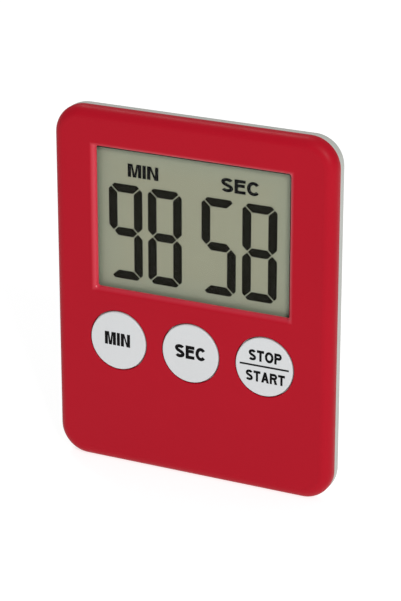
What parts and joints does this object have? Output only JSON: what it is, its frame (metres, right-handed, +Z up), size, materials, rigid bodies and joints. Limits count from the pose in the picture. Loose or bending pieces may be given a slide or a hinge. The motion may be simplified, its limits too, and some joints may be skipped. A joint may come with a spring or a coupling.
{
  "type": "digital kitchen timer",
  "caption": "Slim digital countdown timer with a segment display, round push buttons, rear magnets and a fold-out foot.",
  "frame": {"origin": "middle of the flat bottom edge the timer stands on, on the seam between the front and back shells", "axes": "+X to the right as seen from the front, +Y from the front face to the back, +Z up along the case"},
  "size_m": [0.07, 0.0324, 0.0865],
  "materials": {
    "red_plastic": "glossy moulded ABS",
    "grey_plastic": "fine satin moulded ABS",
    "button_plastic": "satin moulded ABS with printed legends",
    "clear_plastic": "clear polished acrylic",
    "lcd_glass": "thin glass with printed segments",
    "reflector": "grey-green brushed reflector film",
    "foam_tape": "black adhesive foam",
    "black_plastic": "satin black moulding",
    "black_rubber": "layered conductive rubber",
    "silicone": "translucent pale silicone",
    "carbon": "matt carbon ink",
    "board": "green lacquer over paper laminate",
    "black_resin": "cured epoxy",
    "bright_can": "bright tin",
    "ceramic_tan": "fired ceramic",
    "ferrite": "dull ferrite with a varnished winding",
    "cell_steel": "brushed nickel-plated steel",
    "contact_nickel": "spring strip, nickel plated",
    "screw_steel": "zinc-plated steel",
    "brass_disc": "rolled brass",
    "piezo_ceramic": "silvered ceramic",
    "wire_red": "insulated hook-up wire",
    "wire_black": "insulated hook-up wire",
    "magnet": "sintered ferrite"
  },
  "bodies": {
    "case": {"front_shell": "red_plastic", "back_shell": "grey_plastic", "case_screws": "screw_steel", "window_tape": "foam_tape", "display_window": "clear_plastic", "lcd_polarizer": "clear_plastic", "lcd_front_glass": "lcd_glass", "lcd_rear_glass": "lcd_glass", "lcd_reflector": "reflector", "lcd_foam_pad": "foam_tape", "zebra_strip": "black_rubber", "lcd_frame": "black_plastic", "circuit_board": "board", "board_screws": "screw_steel", "chip_blob": "black_resin", "crystal_can": "bright_can", "capacitors": "ceramic_tan", "resistors": "black_resin", "buzzer_transistor": "black_resin", "buzzer_coil": "ferrite", "rubber_dome_min": "silicone", "rubber_dome_sec": "silicone", "rubber_dome_start_stop": "silicone", "contact_pill_min": "carbon", "contact_pill_sec": "carbon", "contact_pill_start_stop": "carbon", "keypad_web": "silicone", "button_cell_can": "cell_steel", "button_cell_cap": "cell_steel", "battery_contact_negative": "contact_nickel", "battery_contact_positive": "contact_nickel", "buzzer_disc": "brass_disc", "buzzer_ceramic": "piezo_ceramic", "buzzer_lead_red": "wire_red", "buzzer_lead_black": "wire_black", "magnet_left": "magnet", "magnet_right": "magnet"},
    "key_min": {"button_min": "button_plastic"},
    "key_sec": {"button_sec": "button_plastic"},
    "key_start_stop": {"button_start_stop": "button_plastic"},
    "foot": {"fold_out_foot": "grey_plastic"},
    "door": {"battery_door": "grey_plastic", "battery_door_screw": "screw_steel"}
  },
  "joints": [
    {"name": "press_min", "type": "slide", "parent": "case", "child": "key_min", "axis": [0, 1, 0], "range_m": [0, 0.0008], "stiffness_N_per_m": 1500, "springref_m": -0.0004, "deforming": ["rubber_dome_min"]},
    {"name": "press_sec", "type": "slide", "parent": "case", "child": "key_sec", "axis": [0, 1, 0], "range_m": [0, 0.0008], "stiffness_N_per_m": 1500, "springref_m": -0.0004, "deforming": ["rubber_dome_sec"]},
    {"name": "press_start_stop", "type": "slide", "parent": "case", "child": "key_start_stop", "axis": [0, 1, 0], "range_m": [0, 0.0008], "stiffness_N_per_m": 1500, "springref_m": -0.0004, "deforming": ["rubber_dome_start_stop"]},
    {"name": "foot_hinge", "type": "hinge", "parent": "case", "child": "foot", "pos_m": [0, 0.00465, 0.0072], "axis": [1, 0, 0], "range_deg": [0, 104.5]},
    {"name": "door_lift", "type": "slide", "parent": "case", "child": "door", "axis": [0, 1, 0], "range_m": [0, 0.01]}
  ]
}
